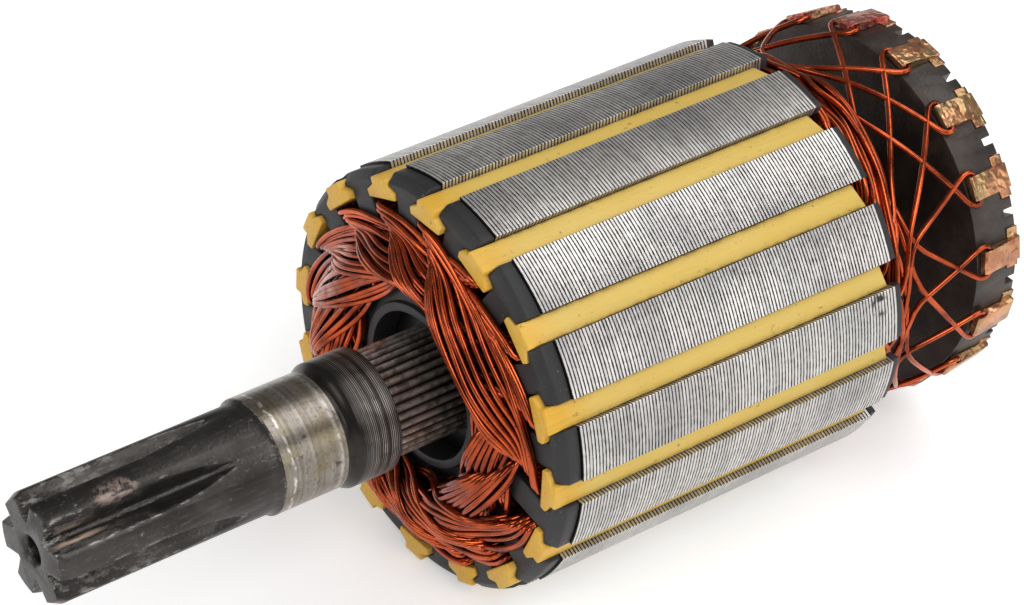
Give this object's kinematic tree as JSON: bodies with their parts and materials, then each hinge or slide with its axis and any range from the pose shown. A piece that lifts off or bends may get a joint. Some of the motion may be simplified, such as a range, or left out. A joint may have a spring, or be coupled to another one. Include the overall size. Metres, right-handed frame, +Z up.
{
  "type": "winch motor rotor",
  "caption": "Wound rotor of an electric winch motor: splined steel shaft, laminated core with copper coils under amber slot wedges, and a disc commutator with wire hooks.",
  "frame": {"origin": "middle of the front bearing journal, on the shaft's axis", "axes": "+X along the shaft from the splined nose towards the commutator, +Z up as the rotor lies at rest"},
  "size_m": [0.1452, 0.0554, 0.0554],
  "materials": {
    "shaft_steel": "black oxide with ground bearing seats",
    "core_steel": "turned lamination edges",
    "insulator_black": "moulded, matte",
    "liner_paper": "insulating paper",
    "wedge_amber": "glass-fibre strip, satin",
    "winding_copper": "enamelled copper wire",
    "segment_copper": "bare copper, aged",
    "commutator_moulding": "phenolic moulding",
    "bush_brass": "turned"
  },
  "bodies": {
    "root": {"shaft": "shaft_steel", "lamination_core": "core_steel", "front_end_insulator": "insulator_black", "rear_end_insulator": "insulator_black", "slot_liners": "liner_paper", "commutator_body": "commutator_moulding", "commutator_bush": "bush_brass", "slot_wedge_01": "wedge_amber", "coil_01": "winding_copper", "commutator_segment_01": "segment_copper", "slot_wedge_02": "wedge_amber", "coil_02": "winding_copper", "commutator_segment_02": "segment_copper", "slot_wedge_03": "wedge_amber", "coil_03": "winding_copper", "commutator_segment_03": "segment_copper", "slot_wedge_04": "wedge_amber", "coil_04": "winding_copper", "commutator_segment_04": "segment_copper", "slot_wedge_05": "wedge_amber", "coil_05": "winding_copper", "commutator_segment_05": "segment_copper", "slot_wedge_06": "wedge_amber", "coil_06": "winding_copper", "commutator_segment_06": "segment_copper", "slot_wedge_07": "wedge_amber", "coil_07": "winding_copper", "commutator_segment_07": "segment_copper", "slot_wedge_08": "wedge_amber", "coil_08": "winding_copper", "commutator_segment_08": "segment_copper", "slot_wedge_09": "wedge_amber", "coil_09": "winding_copper", "commutator_segment_09": "segment_copper", "slot_wedge_10": "wedge_amber", "coil_10": "winding_copper", "commutator_segment_10": "segment_copper", "slot_wedge_11": "wedge_amber", "coil_11": "winding_copper", "commutator_segment_11": "segment_copper", "slot_wedge_12": "wedge_amber", "coil_12": "winding_copper", "commutator_segment_12": "segment_copper", "slot_wedge_13": "wedge_amber", "coil_13": "winding_copper", "commutator_segment_13": "segment_copper", "slot_wedge_14": "wedge_amber", "coil_14": "winding_copper", "commutator_segment_14": "segment_copper", "slot_wedge_15": "wedge_amber", "coil_15": "winding_copper", "commutator_segment_15": "segment_copper", "slot_wedge_16": "wedge_amber", "coil_16": "winding_copper", "commutator_segment_16": "segment_copper"}
  },
  "joints": []
}
